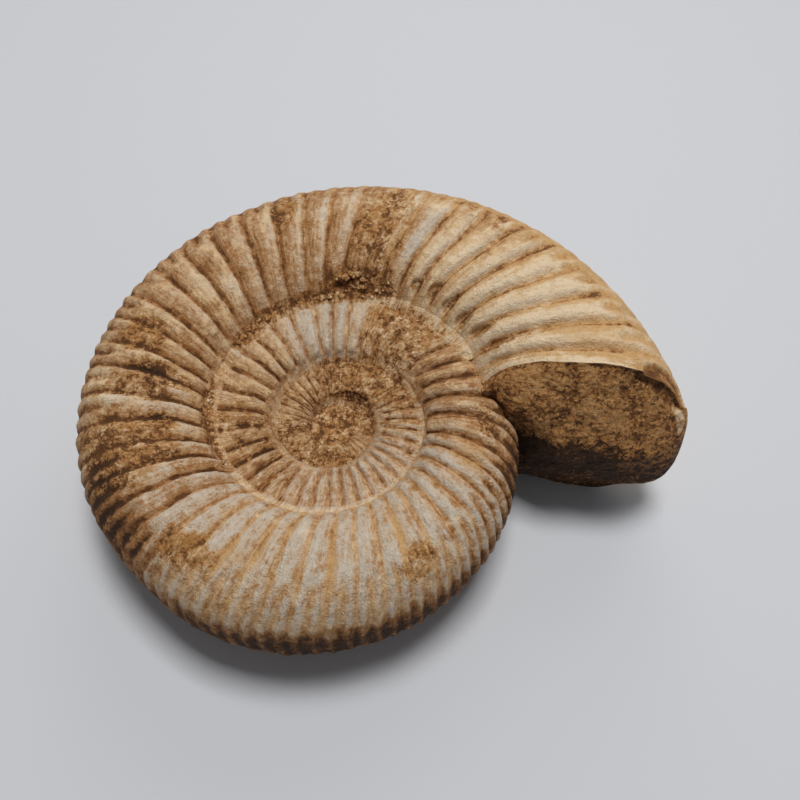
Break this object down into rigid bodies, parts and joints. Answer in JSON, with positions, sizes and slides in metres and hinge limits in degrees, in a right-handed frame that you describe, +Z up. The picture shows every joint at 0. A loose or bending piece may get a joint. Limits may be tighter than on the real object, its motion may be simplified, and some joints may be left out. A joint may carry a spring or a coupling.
{
  "type": "ammonite fossil",
  "caption": "Ammonite fossil lying on its side: a flat coiled, ribbed shell turned to stone, weathered tan and brown, with a rough break across its last turn.",
  "frame": {"origin": "on the surface the fossil lies on, under the middle of its bounding box", "axes": "+Z up through the flat coil; X along the fossil's greatest length, with the broken end at +X; the rough break faces -Y"},
  "size_m": [0.1284, 0.1094, 0.0443],
  "materials": {
    "fossil_stone": "matt, chalky and weathered"
  },
  "bodies": {
    "root": {"ammonite": "fossil_stone"}
  },
  "joints": []
}
